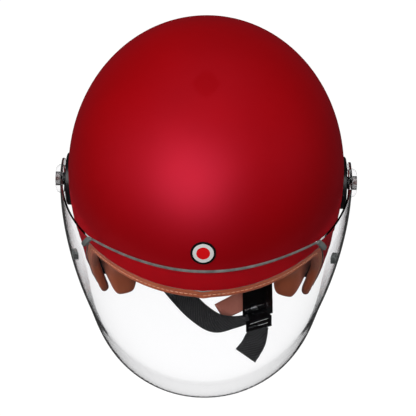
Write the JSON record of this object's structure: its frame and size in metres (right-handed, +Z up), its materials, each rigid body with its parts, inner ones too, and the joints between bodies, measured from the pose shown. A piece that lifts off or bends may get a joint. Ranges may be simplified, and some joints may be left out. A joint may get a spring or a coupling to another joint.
{
  "type": "motorcycle helmet",
  "caption": "Open-face helmet with a hinged clear bubble visor, padded lining and an adjustable quick-release chin strap.",
  "frame": {"origin": "middle of the bounding box on the plane the rim rests on", "axes": "+Z up, the face looks along -Y, +X is the wearer's left"},
  "size_m": [0.2742, 0.3312, 0.2396],
  "materials": {
    "shell_paint": "satin deep red lacquer",
    "foam": "moulded bead foam",
    "leatherette": "grained tan leatherette",
    "lining": "brushed brown lining cloth",
    "visor_clear": "clear polycarbonate",
    "trim_grey": "soft grey rubber trim",
    "black_plastic": "black moulded nylon",
    "red_plastic": "bright red moulding",
    "webbing": "woven black polyester",
    "steel": "zinc plated steel",
    "badge_black": "black enamel",
    "badge_white": "white enamel"
  },
  "bodies": {
    "helmet": {"outer_shell": "shell_paint", "impact_liner": "foam", "edge_roll": "leatherette", "brow_pad": "lining", "crown_pad": "lining", "neck_roll": "leatherette", "badge_rim": "badge_black", "badge_ring": "badge_white", "badge_core": "red_plastic", "visor_base_left": "black_plastic", "visor_base_right": "black_plastic", "base_screws_left": "steel", "base_screws_right": "steel", "wave_washer_left": "steel", "wave_washer_right": "steel", "pivot_cap_left": "visor_clear", "pivot_cap_right": "visor_clear", "pivot_bolt_left": "steel", "pivot_bolt_right": "steel", "pivot_nut_left": "steel", "pivot_nut_right": "steel", "anchor_rivet_left": "steel", "anchor_rivet_right": "steel", "cheek_pad_left": "leatherette", "cheek_pad_right": "leatherette", "cheek_snaps_left": "black_plastic", "cheek_snaps_right": "black_plastic"},
    "visor": {"visor_shield": "visor_clear", "visor_seal": "trim_grey", "seal_clip_left": "trim_grey", "seal_clip_right": "trim_grey", "bump_stop_left": "trim_grey", "bump_stop_right": "trim_grey", "ear_bush_left": "black_plastic", "ear_bush_right": "black_plastic"},
    "chin_strap": {"strap_anchor_left": "steel", "strap_anchor_right": "steel", "webbing_left": "webbing", "webbing_right": "webbing", "strap_flap": "leatherette", "buckle_frame": "steel", "buckle_pin": "steel"},
    "buckle_lever": {"buckle_lever": "black_plastic", "lever_tab": "red_plastic", "lever_spring": "steel"},
    "buckle_tongue": {"ratchet_tongue": "black_plastic", "strap_slider": "black_plastic", "strap_tail": "webbing"}
  },
  "joints": [
    {"name": "visor_lift", "type": "hinge", "parent": "helmet", "child": "visor", "pos_m": [0, 0.01755, 0.103], "axis": [-1, 0, 0], "range_deg": [0, 58]},
    {"name": "strap_swing", "type": "hinge", "parent": "helmet", "child": "chin_strap", "pos_m": [0, 0.04155, 0.044], "axis": [1, 0, 0], "range_deg": [-8, 25]},
    {"name": "lever_open", "type": "hinge", "parent": "chin_strap", "child": "buckle_lever", "pos_m": [0.04792, -0.06945, 0.02044], "axis": [0.788, 0, 0.6157], "range_deg": [0, 35], "stiffness_Nm_per_rad": 0.05},
    {"name": "tongue_slide", "type": "slide", "parent": "chin_strap", "child": "buckle_tongue", "axis": [0, -1, 0], "range_m": [0, 0.02], "deforming": ["webbing_right"]}
  ]
}
